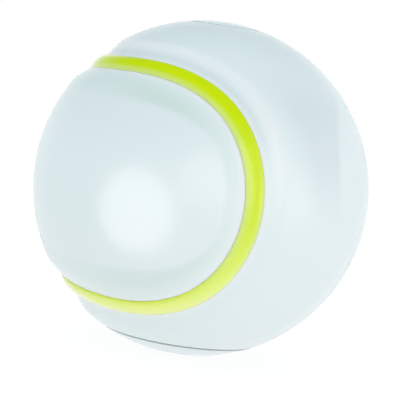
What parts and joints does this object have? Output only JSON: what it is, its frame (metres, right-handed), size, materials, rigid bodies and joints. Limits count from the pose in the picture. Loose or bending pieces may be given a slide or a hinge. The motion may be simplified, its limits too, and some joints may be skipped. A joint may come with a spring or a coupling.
{
  "type": "self-rolling pet ball",
  "caption": "Milky plastic ball toy with a lime bead in its wavy seam, a screw cover over the charging port and a geared pendulum drive that rolls it.",
  "frame": {"origin": "centre of the ball", "axes": "+Z along the drive axle from the port cover to the pole plug, +X through the waist of the port panel, +Y through a lobe of the side panel, -Y facing the lobe in the picture"},
  "size_m": [0.08, 0.08, 0.08],
  "materials": {
    "milky_shell": "translucent milky moulded plastic, satin gloss",
    "lime_bead": "smooth elastomer",
    "white_plastic": "moulded, matte",
    "seal_rubber": "matte rubber",
    "steel": "plated",
    "weight_steel": "zinc plated casting",
    "bronze": "sintered",
    "acetal": "moulded acetal",
    "grey_plastic": "fine texture",
    "black_plastic": "moulded",
    "board_green": "solder mask",
    "cell_foil": "pouch foil",
    "clear_lens": "clear",
    "lime_button": "fine texture",
    "red_lead": "insulated wire",
    "black_lead": "insulated wire"
  },
  "bodies": {
    "shell": {"shell_port_panel": "milky_shell", "shell_side_panel": "milky_shell", "seam_bead": "lime_bead", "port_ring": "white_plastic", "pole_plug": "milky_shell", "axle_screw": "steel", "drive_axle": "steel", "axle_gear": "acetal", "axle_gear_pin": "steel", "thrust_washer": "bronze"},
    "cover_seal": {"cover_gasket": "seal_rubber"},
    "cover": {"port_cover": "milky_shell"},
    "drive_unit": {"chassis": "white_plastic", "upper_plate": "white_plastic", "upper_bush": "bronze", "gear_post_1": "steel", "gear_post_2": "steel", "gear_post_3": "steel", "gear_post_4": "steel", "frame_screw_1": "steel", "frame_screw_2": "steel", "frame_screw_3": "steel", "frame_screw_4": "steel", "first_gear_pin": "steel", "second_gear_pin": "steel", "motor_can": "steel", "motor_cap": "black_plastic", "motor_screw_1": "steel", "motor_screw_2": "steel", "counterweight": "weight_steel", "weight_screw_1": "steel", "weight_screw_2": "steel", "battery_cell": "cell_foil", "motor_lead_1": "red_lead", "motor_lead_2": "black_lead", "cell_lead_1": "red_lead", "cell_lead_2": "black_lead", "main_board": "board_green", "board_screw_1": "steel", "board_screw_2": "steel", "control_chip": "black_plastic", "roll_sensor": "steel", "led_1": "clear_lens", "led_2": "clear_lens", "socket_shell": "steel", "socket_tongue": "black_plastic", "tact_switch": "black_plastic", "status_lens": "clear_lens", "end_plate": "grey_plastic", "end_plate_screw_1": "steel", "end_plate_screw_2": "steel"},
    "second_gear": {"second_gear": "acetal"},
    "first_gear": {"first_gear": "acetal"},
    "rotor": {"motor_shaft": "steel", "motor_pinion": "bronze"},
    "button": {"power_button": "lime_button"}
  },
  "joints": [
    {"name": "drive_spin", "type": "hinge", "parent": "shell", "child": "drive_unit", "pos_m": [0, 0, 0], "axis": [0, 0, 1], "continuous": true},
    {"name": "second_gear_spin", "type": "hinge", "parent": "drive_unit", "child": "second_gear", "pos_m": [0, 0.012, 0.012], "axis": [0, 0, 1], "continuous": true},
    {"name": "first_gear_spin", "type": "hinge", "parent": "drive_unit", "child": "first_gear", "pos_m": [0, 0, 0.009], "axis": [0, 0, 1], "continuous": true},
    {"name": "motor_spin", "type": "hinge", "parent": "drive_unit", "child": "rotor", "pos_m": [0, -0.0108, 0.007], "axis": [0, 0, 1], "continuous": true},
    {"name": "cover_lift", "type": "slide", "parent": "shell", "child": "cover_seal", "axis": [0, 0, -1], "range_m": [0, 0.018]},
    {"name": "cover_unscrew", "type": "hinge", "parent": "cover_seal", "child": "cover", "pos_m": [0, 0, -0.033], "axis": [0, 0, -1], "range_deg": [0, 720]},
    {"name": "button_press", "type": "slide", "parent": "drive_unit", "child": "button", "axis": [0, 0, 1], "range_m": [0, 0.0005], "stiffness_N_per_m": 3000}
  ],
  "couplings": [
    {"joint": "second_gear_spin", "follows": "drive_spin", "ratio": 4},
    {"joint": "first_gear_spin", "follows": "drive_spin", "ratio": -16},
    {"joint": "motor_spin", "follows": "drive_spin", "ratio": 56},
    {"joint": "cover_lift", "follows": "cover_unscrew", "m_per_rad": 0.0014324}
  ]
}
